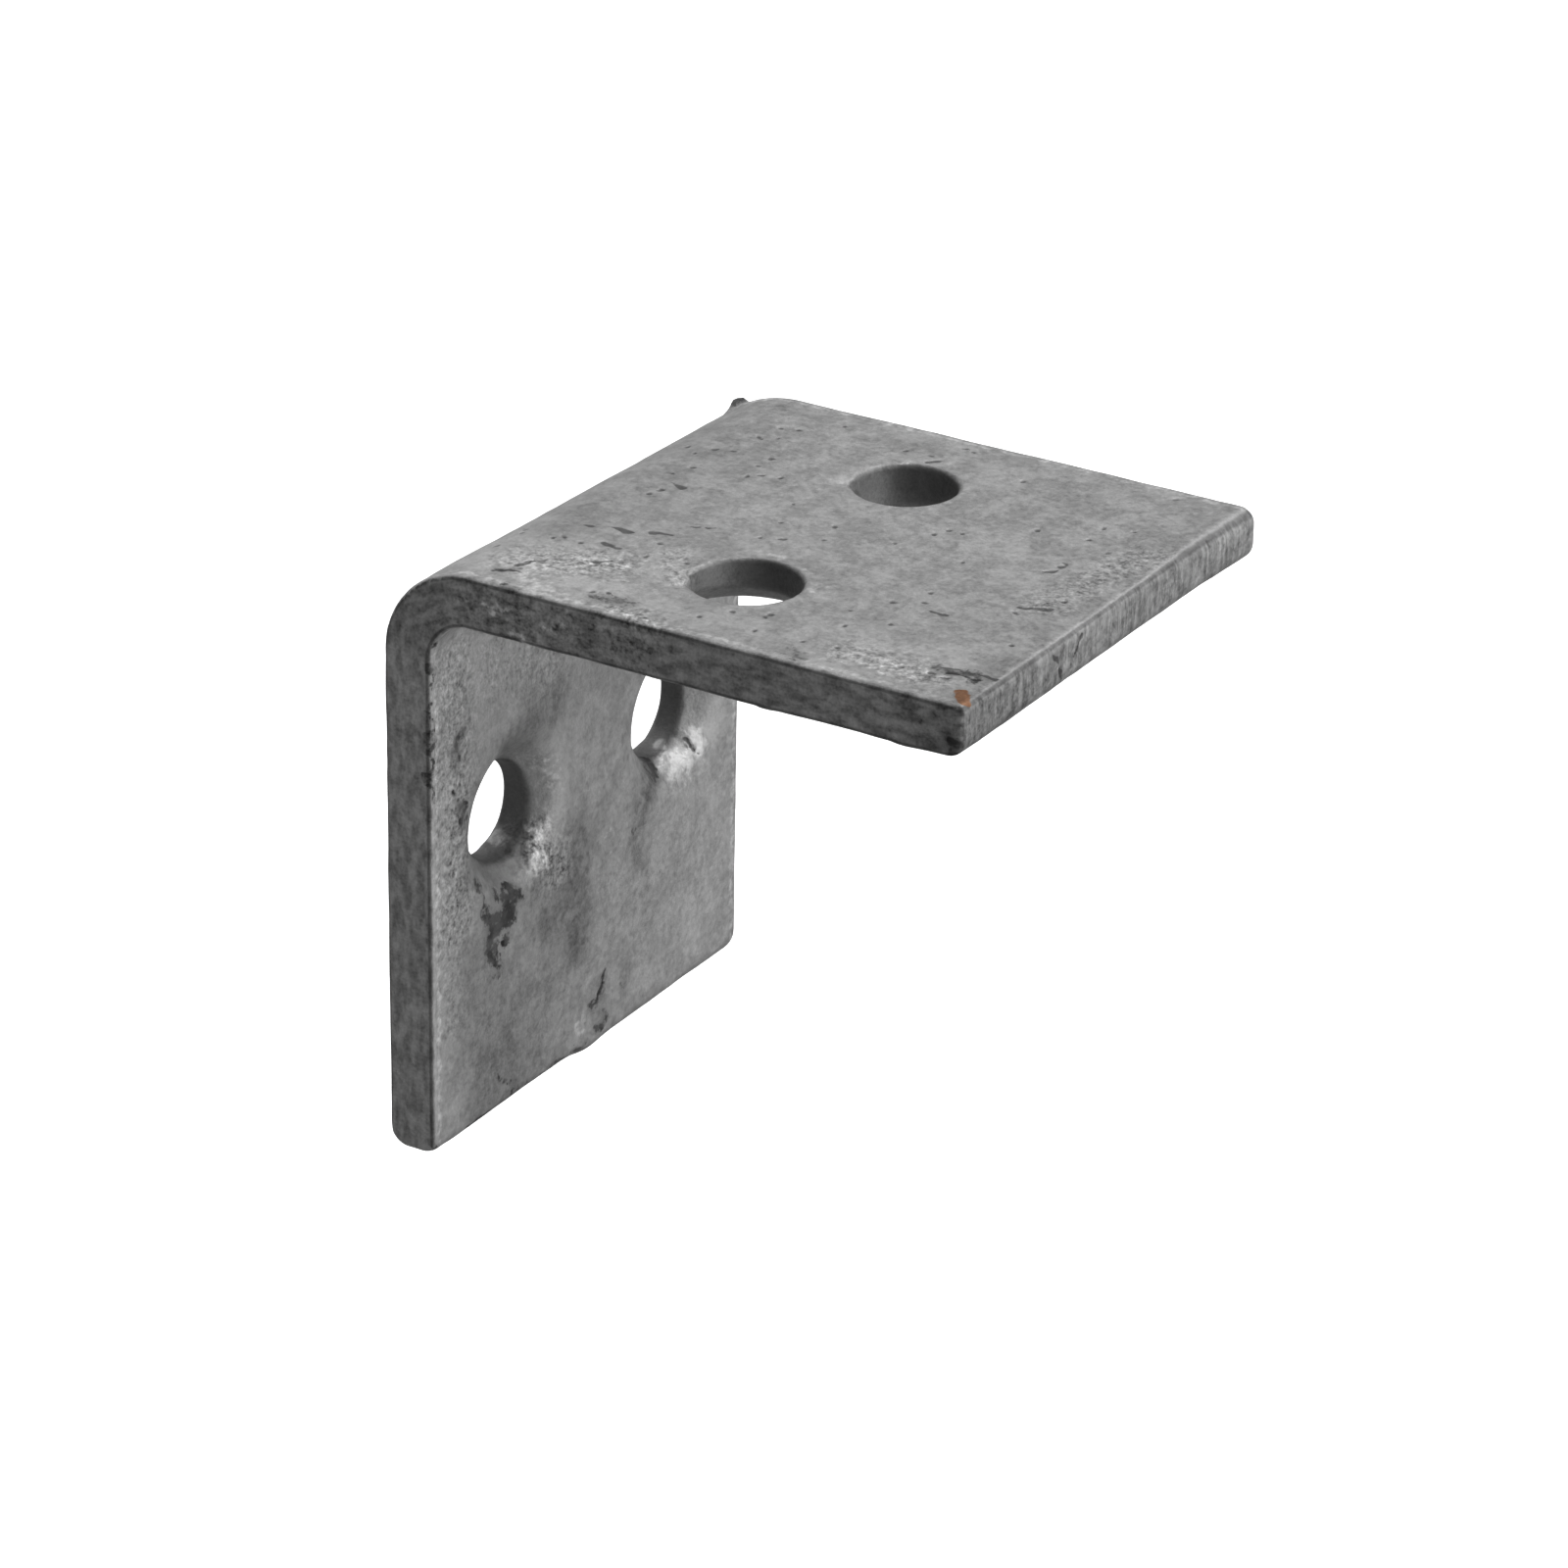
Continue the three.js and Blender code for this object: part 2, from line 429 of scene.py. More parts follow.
# Brighter, smoother zinc, which on the holes' cones is also a painted highlight where they face
# the light
SHINY_ZINC_AND_HIGHLIGHTS = [
    (on_metal((5.1, -9.2, -4.4), (6.2, -10.9, -7.3)), 3.6, 0.85),
    (on_metal((5.4, -12.2, -7.0)), 2.4, 0.6),
    (on_metal((1.7, -12.2, -5.3)), 2.2, 1.0),
    (on_metal((4.8, -8.7, 4.1), (5.5, -7.1, 0.7)), 2.6, 0.5),
    (on_inner((0.1, -2.8)), 1.1, 0.6),
    (on_inner((3.8, -9.2)), 1.0, 0.8),
    (on_inner((3.8, -12.8)), 1.0, 0.8),
    (on_inner((-3.4, -15.1)), 1.0, 0.5),
    (on_metal((5.0, 20.0, -7.8), (5.2, 22.1, -7.6)), 3.9, 0.95),
    (on_metal((4.6, 24.2, -5.1), (5.6, 24.5, -6.7)), 3.0, 0.9),
    (on_metal((3.0, 20.5, -5.6)), 2.0, 1.0),
    (on_near_side((8.8, 34.1), (10.9, 34.2)), 0.9, 0.7),
    (on_near_side((13.4, 34.2), (16.1, 33.9)), 1.1, 0.8),
    (on_near_side((16.7, 31.1), (19.2, 31.0)), 1.0, 0.8),
    (on_near_side((21.6, 34.6), (23.4, 34.2)), 0.9, 0.6),
    (on_near_side((1.4, -26.2)), 1.0, 0.6),
    (on_near_side((3.9, -31.6)), 1.0, 0.6),
    (on_inner((-1.7, -31.0), (-1.6, -32.6)), 1.6, 1.0),
    (on_top((16.5, -29.0), (23.0, -31.0)), 3.0, 0.65),
    (on_top((15.0, -26.0), (22.5, -20.0)), 3.2, 0.4),
    (on_top((57.0, -28.5), (65.0, -28.6)), 2.2, 0.55),
    (on_top((33.2, 21.9), (34.5, 22.7)), 0.9, 0.9),
    (on_top((38.0, 24.4), (39.2, 24.5)), 0.9, 0.7),
    (on_top((33.0, -9.3), (38.0, -9.0)), 1.3, 0.8),
    (on_top((40.7, -10.3), (41.5, -10.4)), 1.0, 0.9),
    (on_top((44.0, -15.5), (43.4, -12.8)), 1.2, 0.6),
    (on_top((54.1, 6.3)), 0.9, 0.6),
    (on_top((59.0, -13.2)), 0.9, 0.7),
    (on_top((28.0, -31.6), (40.0, -31.8)), 1.5, 0.45),
]
# Rough, scaly zinc
SCALY = [
    (on_top((14.0, -25.0), (22.0, -21.0)), 6.5, 1.0),
    (on_top((27.0, -29.5), (33.0, -31.0)), 3.5, 0.9),
    (on_top((56.0, -26.5), (67.0, -27.0)), 4.5, 0.8),
    (on_top((67.0, -4.0), (70.0, 14.0)), 4.5, 0.6),
    (on_top((26.0, -15.0), (31.0, -20.0)), 3.5, 0.7),
    (on_inner((-28.0, 24.0), (-27.5, 3.0), (-28.0, -8.0)), 6.0, 0.9),
    (on_inner((-28.5, -8.0), (-29.0, -20.0)), 4.0, 0.4),
    (on_inner((-20.0, 21.0), (-8.0, 18.0)), 8.0, 0.45),
    (on_inner((-11.0, -5.0), (-7.0, -9.0)), 5.0, 0.8),
    (on_tip((-30.0, 34.0), (30.0, 34.0)), 4.0, 0.3),
    (on_near_side((12.0, 34.0), (34.0, 34.0)), 5.0, 0.5),
]
# Soft zones that are lighter or darker than the rest: where, how wide and by how much. They are
# partly painted light and shade, such as the inner face lighter under the level leg and the tip
# darker, and partly differences in the zinc's tone
LIGHT_SHADE_AND_TONE_ZONES = [
    (on_inner((-22.0, 26.0), (-4.0, 24.0)), 14.0, 0.09),
    (on_inner((-4.0, 12.0), (4.0, 2.0)), 10.0, 0.04),
    (on_inner((26.0, -28.0), (26.0, -14.0)), 14.0, 0.06),
    (on_inner((-8.0, -14.0), (-14.0, -32.0)), 14.0, -0.07),
    (on_inner((-1.9, -8.0), (-2.3, -13.0), (-2.0, -17.5), (-2.2, -20.8)), 4.6, -0.12),
    (on_inner((-7.6, -15.9), (-5.8, -18.5), (-4.8, -20.5)), 4.6, -0.08),
    (on_inner((-28.0, 26.0), (-25.0, 14.0)), 9.0, 0.05),
    (on_inner((-24.0, -19.0), (-20.0, -32.0)), 13.0, -0.08),
    (on_inner((-16.5, 9.0), (-12.9, 10.6), (-8.8, 10.4), (-7.0, 13.0)), 4.6, -0.12),
    (on_inner((-16.0, -10.0), (-11.0, -10.5)), 3.0, -0.04),
    (on_metal((4.0, 16.0, -6.3), (6.2, 12.8, -7.8), (6.2, 11.4, -9.2)), 3.2, -0.14),
    (on_inner((11.4, -9.2), (9.4, -11.5), (10.3, -16.2)), 2.8, -0.11),
    (on_inner((7.9, -29.0), (6.1, -31.3)), 2.8, -0.10),
    (on_inner((2.4, -28.0), (1.0, -33.0)), 2.4, -0.08),
    (on_inner((-22.3, -27.4)), 3.0, -0.05),
    (on_top((13.7, 29.5), (17.7, 28.2)), 3.0, -0.08),
    (on_top((12.0, -22.0), (11.0, -10.0), (14.5, 2.0), (15.0, 14.0)), 4.0, -0.05),
    (on_top((8.0, -24.0), (24.0, -28.0)), 14.0, 0.08),
    (on_top((56.0, -26.0), (68.0, -24.0)), 9.0, 0.06),
    (on_tip((-32.0, 34.0), (-24.0, 34.0)), 12.0, -0.09),
    (on_tip((-32.0, 34.0), (32.0, 34.0)), 9.0, -0.05),
    (on_near_side((10.0, 34.0), (30.0, 34.0)), 8.0, -0.03),
    (on_near_side((56.0, 34.0), (70.0, 34.0)), 7.0, 0.03),
    (on_near_side((3.0, 22.0), (3.0, -36.0)), 8.0, 0.12),
]
RUST = [(on_top((70.9, -29.2), (72.2, -30.8)), 1.35, 1.0)]


def layer(points, marks):
    """The strongest of the given marks at each point, from 0 to 1."""
    total = np.zeros(len(points))
    for line, width, strength in marks:
        total = np.maximum(total, strength * hill(line_distance(points, line), width))
    return total


def sum_of(points, marks):
    """All of the given marks added up at each point."""
    total = np.zeros(len(points))
    for line, width, strength in marks:
        total += strength * hill(line_distance(points, line), width)
    return total


def scattered_pits():
    """Random pits on the level leg, closest together near the fold and clear of the holes."""
    random = np.random.default_rng(21)
    spots = []
    while len(spots) < scattered_pit_count:
        x = 8 + 62 * random.random() ** 1.6
        y = random.uniform(-28, 31)
        gaps = [np.hypot(x - hole.centre[0], y - hole.centre[1]) for hole in HOLES[2:]]
        if min(gaps) > pit_free_radius:
            spots.append(on_top((x, y)))
    return spots


# ---------------------------------------------------------------- building the mesh


def coordinates(mesh):
    flat = np.empty(len(mesh.vertices) * 3)
    mesh.vertices.foreach_get("co", flat)
    return flat.reshape(-1, 3) / MM


def set_coordinates(mesh, points):
    mesh.vertices.foreach_set("co", (points * MM).ravel())
    mesh.update()


def remeshed_copy(source):
    """A copy of a CAD node made of even quads."""
    piece = bpy.data.objects.new("galvanised_plate", source.data.copy())
    bpy.context.scene.collection.objects.link(piece)
    piece.data.materials.clear()
    remesh = piece.modifiers.new("even_quads", "REMESH")
    remesh.mode = "VOXEL"
    remesh.voxel_size = voxel * MM
    remesh.use_smooth_shade = True
    bpy.context.view_layer.update()
    evaluated = piece.evaluated_get(bpy.context.evaluated_depsgraph_get())
    mesh = bpy.data.meshes.new_from_object(evaluated)
    piece.modifiers.clear()
    piece.data = mesh
    return piece


def relaxed(mesh, points, rounds):
    """Evens out the vertices' spacing along the surface."""
    edges = np.empty(len(mesh.edges) * 2, int)
    mesh.edges.foreach_get("vertices", edges)
    one, other = edges.reshape(-1, 2).T
    count = np.bincount(np.concatenate([one, other]), minlength=len(points))
    for _ in range(rounds):
        total = np.zeros_like(points)
        np.add.at(total, one, points[other])
        np.add.at(total, other, points[one])
        points = snapped(points + 0.5 * (total / count[:, None] - points), rounds=1)
    return snapped(points, rounds=2)


def refined(mesh, faces_to_divide, cuts):
    """Divides some faces. faces_to_divide picks them from a bmesh."""
    edit = bmesh.new()
    edit.from_mesh(mesh)
    edit.faces.ensure_lookup_table()
    edit.edges.index_update()
    edges = {edge.index: edge for face in faces_to_divide(edit) for edge in face.edges}
    chosen = [edges[index] for index in sorted(edges)]
    bmesh.ops.subdivide_edges(edit, edges=chosen, cuts=cuts, use_grid_fill=True)
    large = [face for face in edit.faces if len(face.verts) > 4]
    bmesh.ops.triangulate(edit, faces=large)
    for face in edit.faces:
        face.smooth = True
    edit.to_mesh(mesh)
    edit.free()


def tightly_curved(edit):
    """The faces at rims and corners."""
    bends = [edge for edge in edit.edges if edge.calc_face_angle(0) > tight_bend]
    return [face for edge in bends for face in edge.link_faces]


def hole_rims(edit):
    """The tightly curved faces round the holes."""
    faces = tightly_curved(edit)
    centres = np.array([face.calc_center_median() for face in faces]) / MM
    near = np.zeros(len(faces), bool)
    for hole in HOLES:
        near |= np.linalg.norm(centres - hole.centre, axis=1) < hole.mouth + rim_reach
    return [faces[index] for index in np.nonzero(near)[0]]


def faces_near(lines, reach):
    """A picker, for refined, of the faces within reach of some lines."""

    def chosen(edit):
        centres = np.array([face.calc_center_median() for face in edit.faces]) / MM
        close = np.zeros(len(centres), bool)
        for line in lines:
            close |= line_distance(centres, line) < reach
        return [edit.faces[index] for index in np.nonzero(close)[0]]

    return chosen


def undulation(points):
    """The gentle unevenness of the zinc."""
    broad = ripple(points, 9.0, 11) * 0.06
    medium = ripple(points, 3.2, 12) * 0.03
    small = ripple(points, 1.3, 13) * 0.015
    return broad + medium + small


# Where the dark lines of painted shade run on the rounded edges, as angles from the side or
# end, how wide they are, and how strong the one at the ends is
side_line_turn = 0.5
end_line_turn = 0.85
line_width = 0.6
end_line_strength = 0.85
# The masks of the sides and ends start and are full this far before the nominal side or end
mask_start = -0.55
mask_full = -0.2
# Painted shade in the hanging leg's holes, and the direction in which the level leg's holes get
# darker
hanging_hole_shade = 0.7
shaded_side = (0.86, 0.51, 0)


def painted_shade_line(depth, beyond, radius, middle):
    """Painted shade: 1 along a line on a rounded edge between the bar's faces and its sides or
    ends. beyond is the distance past the nominal side or end, and middle is where on the rounding
    the line runs, as an angle from the side or end."""
    outward = beyond + radius
    upward = np.abs(depth) - thickness / 2 + radius
    turn = np.arctan2(np.maximum(upward, 0), np.maximum(outward, 1e-6))
    on_rounding = (outward > 0) & (upward > 0)
    return np.where(on_rounding, hill(np.abs(turn - middle), line_width), 0)


def fitted_piece(pits):
    """The CAD node as even quads on the plate's exact surface, finer at rims and small marks."""
    piece = remeshed_copy(frame["nodes"][NODE])
    mesh = piece.data
    set_coordinates(mesh, relaxed(mesh, snapped(coordinates(mesh), rounds=6), 3))
    for faces_to_divide, rounds in ((tightly_curved, 3), (hole_rims, 2)):
        refined(mesh, faces_to_divide, 1)
        set_coordinates(mesh, relaxed(mesh, snapped(coordinates(mesh), rounds=3), rounds))
    refined(mesh, faces_near(SCRATCHES + pits, fine_reach), 2)
    return piece


def fine_marks(points, shaky, pits):
    """The scratches and the pits at each point, from 0 to 1."""
    scratch = np.zeros(len(points))
    pit = np.zeros(len(points))
    widths = scratch_width * (0.75 + 0.6 * ripple(points, 1.1, 31))
    for line in SCRATCHES:
        scratch = np.maximum(scratch, hill(line_distance(shaky, line), widths))
    for line in pits:
        pit = np.maximum(pit, hill(line_distance(shaky, line), pit_width))
    return scratch, pit


def relief(points, wavy, scratch, pit, scaly):
    """How far the zinc stands out from the plate's exact surface."""
    height = undulation(points)
    height += scaly * (0.05 * ripple(points, 0.9, 14) + 0.03 * ripple(points, 0.55, 15))
    height -= scratch_depth * scratch + pit_depth * pit
    for line, width, lift in LUMPS:
        height += lift * hill(line_distance(wavy, line), width)
    for line, width, drop in HOLLOWS:
        height -= drop * hill(line_distance(wavy, line), width)
    return height


def painted_edge_shade(y, depth, side, end, level):
    """Painted shade: dark lines on the rounded edges along the bar's sides and the legs' ends,
    from 0 to 1.
    """
    past_end = end - np.where(level, tip_bulge(y), 0)
    end_radius = np.where(level, tip_top_round(y), tip_round)
    at_end = painted_shade_line(depth, past_end, end_radius, end_line_turn)
    at_side = painted_shade_line(depth, side, side_round, side_line_turn)
    return np.maximum(at_side, end_line_strength * at_end)


def hole_shading(points, depth, level):
    """Painted shade: dark rings round the holes' outer rims, and darkening inside the holes, from
    0 to 1.
    """
    shaded_rings = np.zeros(len(points))
    hole_shade = np.zeros(len(points))
    below_face = thickness / 2 - depth
    for hole in HOLES:
        on_leg = hole.on_leg(level)
        past_wall = hole.radius(points, hole.centre) - hole.neck
        shaded_ring = on_leg * (depth > 0) * hill(np.abs(past_wall - 0.3), 0.6)
        shaded_rings = np.maximum(shaded_rings, 0.5 * shaded_ring)
        shade_share = hanging_hole_shade
        if hole.axis == 2:
            shade_share = ramp((points - hole.centre) @ shaded_side, -4, 4)
        wall = hill(np.abs(past_wall), 0.9) * ramp(below_face, -0.2, 0.3)
        hole_shade = np.maximum(hole_shade, on_leg * (wall * (0.3 + 0.7 * shade_share)))
    return shaded_rings, hole_shade


def galvanised_plate():
    """The finished mesh. Its attributes carry the marks, and the painted light and shade, to the
    material.
    """
    pits = PITS + scattered_pits()
    piece = fitted_piece(pits)
    mesh = piece.data
    rest = snapped(coordinates(mesh), rounds=3)
    wavy = wandering(rest, 0.9, 1.5, 51)
    shaky = wandering(rest, 0.3, 0.8, 61)
    scratch, pit = fine_marks(rest, shaky, pits)
    scaly = layer(wavy, SCALY)
    height = relief(rest, wavy, scratch, pit, scaly)
    set_coordinates(mesh, rest + slope(rest) * height[:, None])

    y = rest[:, 1]
    along, depth, level = along_and_depth(rest)
    side = np.abs(y) - half_width
    end = along - leg_length
    shaded_rings, hole_shade = hole_shading(rest, depth, level)
    on_face = np.abs(depth) > thickness / 2 - 0.15
    masks = {
        "travel": travel(rest),
        "depth": depth,
        "side": ramp(side, mask_start, mask_full),
        "end": ramp(end, mask_start, mask_full),
        "light_shade_and_tone": sum_of(wavy, LIGHT_SHADE_AND_TONE_ZONES),
        "stain_and_shade": layer(wavy, STAINS_AND_SHADE),
        "shiny_zinc_and_highlight": layer(wavy, SHINY_ZINC_AND_HIGHLIGHTS),
        "scratch": np.maximum(scratch, 0.8 * pit),
        "scaly": scaly,
        "rust": layer(shaky, RUST),
        # rim: painted shade along the rounded edges and in rings round the holes' outer rims
        "rim": np.maximum(painted_edge_shade(y, depth, side, end, level), shaded_rings),
        # a painted highlight in a strip on the faces just in from the sides
        "painted_side_highlight": on_face * hill(np.abs(side + side_round + 0.5), 0.8),
        "painted_shade_in_holes": hole_shade,
    }
    for name, values in masks.items():
        attribute = mesh.attributes.new(name, "FLOAT", "POINT")
        attribute.data.foreach_set("value", np.asarray(values, np.float32))
    return piece


# ---------------------------------------------------------------- material


BLACK = (0, 0, 0, 1)
WHITE = (1, 1, 1, 1)
DARK_RUST = (0.10, 0.040, 0.016, 1)
LIGHT_RUST = (0.30, 0.15, 0.075, 1)
zinc_metallic = 0.55
bump_strength = 0.6
bump_height = 0.12


class Shader:
    """A material whose nodes are added one by one."""

    def __init__(self, name):
        self.material = bpy.data.materials.new(name)
        self.material.use_nodes = True
        self.tree = self.material.node_tree
        self.surface = self.tree.nodes["Principled BSDF"]
        place = self.node("ShaderNodeTexCoord").outputs["Object"]
        self.place = self.scaled(place, (1 / MM, 1 / MM, 1 / MM))

    def node(self, kind, **settings):
        new = self.tree.nodes.new(kind)
        for name, value in settings.items():
            setattr(new, name, value)
        return new

    def feed(self, socket, value):
        """Links a node's output to a socket, or sets the socket to a fixed value."""
        if isinstance(value, bpy.types.NodeSocket):
            self.tree.links.new(value, socket)
        else:
            socket.default_value = value

    def scaled(self, vector, factors):
        new = self.node("ShaderNodeVectorMath", operation="MULTIPLY")
        self.feed(new.inputs[0], vector)
        self.feed(new.inputs[1], factors)
        return new.outputs[0]

    def calc(self, operation, *values):
        new = self.node("ShaderNodeMath", operation=operation)
        for socket, value in zip(new.inputs, values):
            self.feed(socket, value)
        return new.outputs[0]

    def mask(self, name):
        return self.node("ShaderNodeAttribute", attribute_name=name).outputs["Fac"]

    def noise(self, size, detail):
        """Random values round 0.5 that change over about size millimetres."""
        new = self.node("ShaderNodeTexNoise")
        self.feed(new.inputs["Vector"], self.place)
        self.feed(new.inputs["Scale"], 1 / size)
        self.feed(new.inputs["Detail"], detail)
        return new.outputs["Fac"]

    def flat_noise(self, u, v, detail):
        """Random values round 0.5 from a pair of surface coordinates."""
        joined = self.node("ShaderNodeCombineXYZ")
        self.feed(joined.inputs[0], u)
        self.feed(joined.inputs[1], v)
        new = self.node("ShaderNodeTexNoise")
        self.feed(new.inputs["Vector"], joined.outputs[0])
        self.feed(new.inputs["Scale"], 1.0)
        self.feed(new.inputs["Detail"], detail)
        return new.outputs["Fac"]

    def cells(self, size):
        """A random value from 0 to 1 in each cell of about size millimetres."""
        new = self.node("ShaderNodeTexVoronoi")
        self.feed(new.inputs["Vector"], self.place)
        self.feed(new.inputs["Scale"], 1 / size)
        split = self.node("ShaderNodeSeparateColor")
        self.feed(split.inputs[0], new.outputs["Color"])
        return split.outputs[0]

    def ramp(self, value, start, end, low=0.0, high=1.0):
        new = self.node("ShaderNodeMapRange", interpolation_type="SMOOTHSTEP")
        for socket, part in zip(new.inputs, (value, start, end, low, high)):
            self.feed(socket, part)
        return new.outputs[0]

    def add(self, *values):
        total = values[0]
        for value in values[1:]:
            total = self.calc("ADD", total, value)
        return total

    def times(self, *values):
        total = values[0]
        for value in values[1:]:
            total = self.calc("MULTIPLY", total, value)
        return total

    def swing(self, value, amount):
        """A value from 0 to 1, centred on 0 and multiplied by the amount."""
        return self.times(self.add(value, -0.5), amount)

    def blend(self, factor, first, second):
        new = self.node("ShaderNodeMix", data_type="RGBA")
        self.feed(new.inputs["Factor"], factor)
        colours = [socket for socket in new.inputs if socket.type == "RGBA"]
        self.feed(colours[0], first)
        self.feed(colours[1], second)
        return [socket for socket in new.outputs if socket.type == "RGBA"][0]


def galvanised_steel():
    look = Shader("galvanised_steel")
    stain_and_shade = look.mask("stain_and_shade")
    shiny_zinc_and_highlight = look.mask("shiny_zinc_and_highlight")
    scratch = look.mask("scratch")
    scaly = look.mask("scaly")
    side = look.mask("side")
    end = look.mask("end")

    clouds = look.noise(13, 2.0)
    patches = look.ramp(look.noise(3.6, 5.0), 0.40, 0.62)
    blots = look.noise(1.6, 4.0)
    flecks = look.noise(0.9, 3.0)
    grain = look.noise(0.35, 2.0)
    spangle = look.cells(2.6)
    # Patches drawn out along the bar on its sides, and flutes across its sheared ends
    depth = look.mask("depth")
    across = look.node("ShaderNodeSeparateXYZ")
    look.feed(across.inputs[0], look.place)
    drawn = look.flat_noise(look.times(look.mask("travel"), 0.35), look.times(depth, 0.9), 5.0)
    fluted = look.flat_noise(look.times(across.outputs[1], 1.1), look.times(depth, 0.16), 3.0)
    drawn = look.swing(look.ramp(drawn, 0.36, 0.64), side)
    fluted = look.swing(look.ramp(fluted, 0.36, 0.64), end)

    # Lightness of the zinc: broad clouds, patches, crystals and fine grain
    fleck_depth = look.add(0.20, look.times(scaly, 0.80), look.times(side, 0.20))
    grain_depth = look.add(0.18, look.times(scaly, 0.60), look.times(side, 0.15))
    tone = look.add(
        0.27,
        # painted light and shade from the soft zones, together with real differences in tone
        look.mask("light_shade_and_tone"),
        look.times(clouds, 0.10),
        look.times(patches, 0.05),
        look.times(spangle, 0.02),
        look.swing(flecks, fleck_depth),
        look.swing(grain, grain_depth),
        look.swing(blots, 0.12),
        look.times(drawn, 0.22),
        look.times(fluted, 0.12),
    )
    # Stains, and the painted shadow along the foot, with broken edges
    ragged = look.add(look.swing(flecks, 2.4), look.swing(grain, 1.2))
    broken = look.ramp(look.add(stain_and_shade, look.times(ragged, look.ramp(stain_and_shade, 0.0, 0.4))), 0.15, 0.95)
    darkening = look.times(broken, look.ramp(blots, 0.35, 0.65, -0.65, -0.88))
    tone = look.times(tone, look.add(1.0, darkening))
    # Fresh, shiny zinc, with painted highlights on the holes' cones and in a strip on the faces
    # along the sides
    shiny_zinc_and_highlight = look.calc("MAXIMUM", shiny_zinc_and_highlight, look.times(look.mask("painted_side_highlight"), 0.65))
    shine_and_highlight = look.ramp(look.add(shiny_zinc_and_highlight, look.swing(flecks, 1.4)), 0.25, 0.9)
    shine_and_highlight = look.times(shine_and_highlight, look.ramp(shiny_zinc_and_highlight, 0.0, 0.2))
    tone = look.times(tone, look.add(1.0, look.times(shine_and_highlight, look.add(0.5, look.times(side, 0.7)))))
    # Scratches and pits, then painted shade: darkening in the holes and dark lines along the edges
    tone = look.times(tone, look.ramp(scratch, 0.1, 0.6, 1.0, 0.3))
    hole_shade = look.times(look.mask("painted_shade_in_holes"), look.ramp(shiny_zinc_and_highlight, 0.3, 0.8, 1.0, 0.2))
    tone = look.times(tone, look.add(1.0, look.times(hole_shade, -0.6)))
    edge_shade = look.add(look.mask("rim"), look.swing(flecks, 0.7))
    tone = look.times(tone, look.ramp(edge_shade, 0.25, 0.8, 1.0, 0.45))
    tone = look.calc("MAXIMUM", tone, 0.02)

    zinc = look.blend(tone, BLACK, WHITE)
    rust_spot = look.add(look.mask("rust"), look.swing(flecks, 0.6))
    rust = look.blend(look.noise(0.5, 2.0), DARK_RUST, LIGHT_RUST)
    colour = look.blend(look.ramp(rust_spot, 0.3, 0.5), zinc, rust)
    look.feed(look.surface.inputs["Base Color"], colour)

    rough = look.add(0.50, look.times(patches, 0.08), look.swing(flecks, 0.25))
    rough = look.add(rough, look.times(broken, 0.15), look.times(shine_and_highlight, -0.12))
    look.feed(look.surface.inputs["Roughness"], look.calc("MINIMUM", rough, 0.9))
    look.surface.inputs["Metallic"].default_value = zinc_metallic

    height = look.add(
        look.times(look.noise(0.7, 3.0), look.add(0.5, look.times(scaly, 1.2))),
        look.times(grain, 0.35),
        look.times(drawn, 0.5),
        look.times(fluted, 1.2),
        look.times(broken, -0.6),
        look.times(shine_and_highlight, 0.4),
    )
    bump = look.node("ShaderNodeBump")
    bump.inputs["Strength"].default_value = bump_strength
    bump.inputs["Distance"].default_value = bump_height * MM
    look.feed(bump.inputs["Height"], height)
    look.feed(look.surface.inputs["Normal"], bump.outputs["Normal"])
    return look.material


piece = galvanised_plate()
piece.data.materials.append(galvanised_steel())
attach(piece, "root")
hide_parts(NODE)

# ---------------------------------------------------------------- camera, floor and light


# Angles are in degrees, and distances and sizes in metres from here on. The camera aims at a place
# given in shares of the CAD box.
camera_aim = (0.673, 0.0604, 0.777)
camera_azimuth = 30.96
camera_elevation = 25.16
camera_roll = 0.97
camera_distance = 0.6624
camera_lens = 142.3  # millimetres, on a 36 mm sensor
# The floor lies well below the bracket, which hangs on a wall in use
floor_drop = 0.15
floor_size = 60
floor_shade = (0.95, 0.95, 0.95, 1)
# Name, azimuth, elevation, distance, size and power in watts
SOFTBOXES = [
    ("key", 150, 55, 1.3, 1.2, 15),
    ("right", 105, 8, 1.2, 1.0, 6),
    ("bounce", 100, -35, 1.3, 1.4, 4),
    ("back_fill", 250, 30, 1.4, 1.4, 6),
]


def direction(azimuth, elevation):
    """From the bracket towards a camera or lamp. Azimuth 0 is -Y and 90 is +X."""
    turn, lift = math.radians(azimuth), math.radians(elevation)
    flat = math.cos(lift)
    return Vector((math.sin(turn) * flat, -math.cos(turn) * flat, math.sin(lift)))


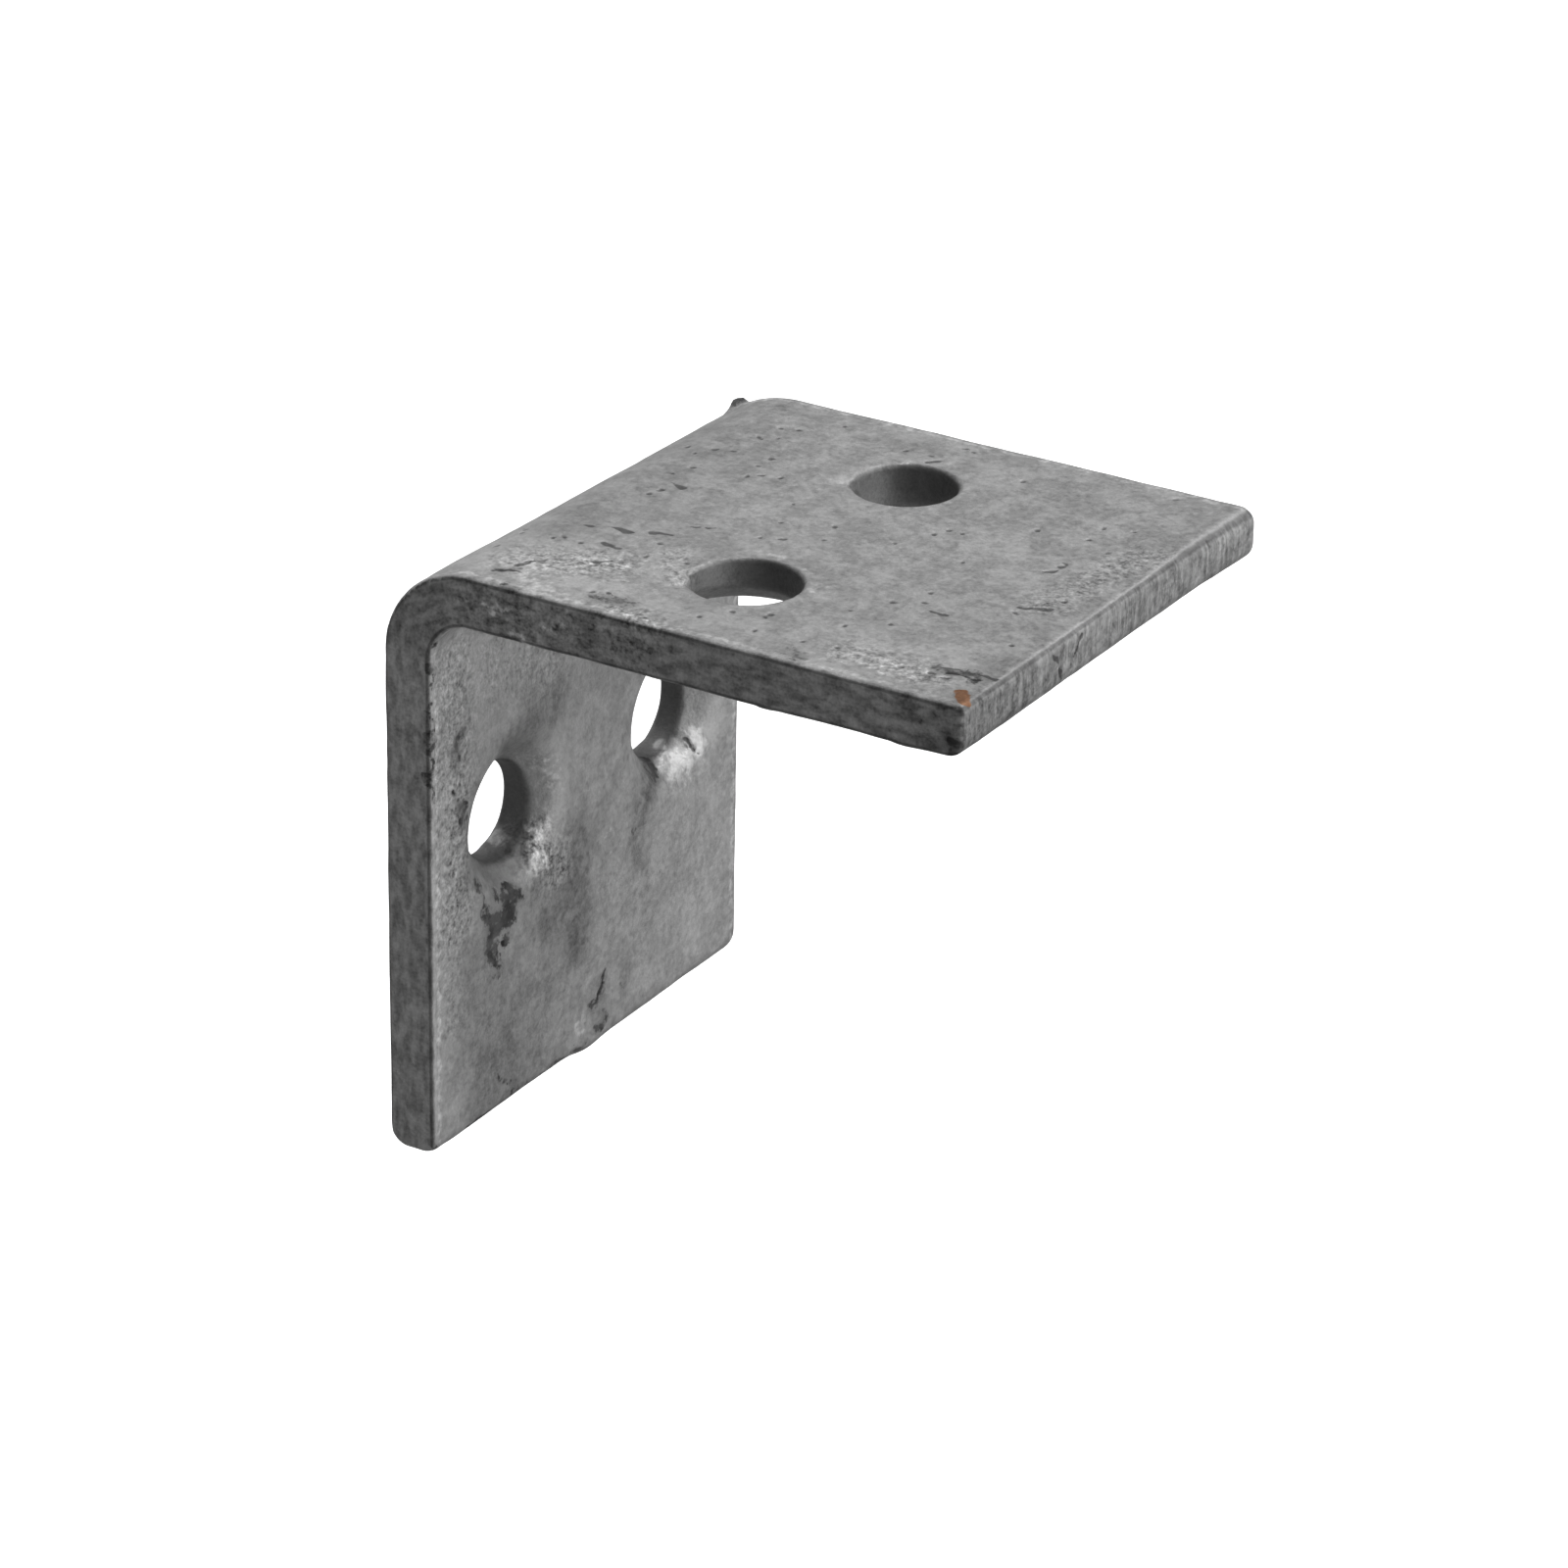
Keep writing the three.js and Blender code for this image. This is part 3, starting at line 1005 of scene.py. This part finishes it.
def photo_camera():
    data = bpy.data.cameras.new("photo_camera")
    data.sensor_width = 36
    data.lens = camera_lens
    data.clip_start = 0.01
    camera = bpy.data.objects.new("photo_camera", data)
    bpy.context.scene.collection.objects.link(camera)
    aim = Vector((low + (high - low) * np.array(camera_aim)) * MM)
    back = direction(camera_azimuth, camera_elevation)
    camera.rotation_euler = back.to_track_quat("Z", "Y").to_euler()
    camera.rotation_euler.rotate_axis("Z", math.radians(camera_roll))
    camera.location = aim + back * camera_distance
    bpy.context.scene.camera = camera


def add_softbox(name, azimuth, elevation, distance, size, power):
    data = bpy.data.lights.new(name, "AREA")
    data.shape = "SQUARE"
    data.size = size
    data.energy = power
    light = bpy.data.objects.new(name, data)
    bpy.context.scene.collection.objects.link(light)
    toward = direction(azimuth, elevation)
    light.location = toward * distance
    light.rotation_euler = toward.to_track_quat("Z", "Y").to_euler()


def pale_floor():
    height = low[2] * MM - floor_drop
    bpy.ops.mesh.primitive_plane_add(size=floor_size, location=(0, 0, height))
    floor = bpy.context.object
    floor.name = "floor"
    material = bpy.data.materials.new("pale_floor")
    material.use_nodes = True
    shader = material.node_tree.nodes["Principled BSDF"]
    shader.inputs["Base Color"].default_value = floor_shade
    shader.inputs["Roughness"].default_value = 1.0
    shader.inputs["Emission Color"].default_value = WHITE
    shader.inputs["Emission Strength"].default_value = 0.6
    floor.data.materials.append(material)
    floor.visible_diffuse = False
    floor.visible_glossy = False


def surroundings():
    """White to the eye, and a dim even light on the bracket."""
    world = bpy.data.worlds.new("studio")
    world.use_nodes = True
    nodes, links = world.node_tree.nodes, world.node_tree.links
    shade = nodes["Background"]
    shade.inputs["Color"].default_value = WHITE
    path = nodes.new("ShaderNodeLightPath")
    level = nodes.new("ShaderNodeMapRange")
    links.new(path.outputs["Is Camera Ray"], level.inputs["Value"])
    level.inputs["To Min"].default_value = 0.2
    level.inputs["To Max"].default_value = 1.0
    links.new(level.outputs["Result"], shade.inputs["Strength"])
    bpy.context.scene.world = world
    bpy.context.scene.view_settings.view_transform = "Standard"


photo_camera()
pale_floor()
surroundings()
for softbox in SOFTBOXES:
    add_softbox(*softbox)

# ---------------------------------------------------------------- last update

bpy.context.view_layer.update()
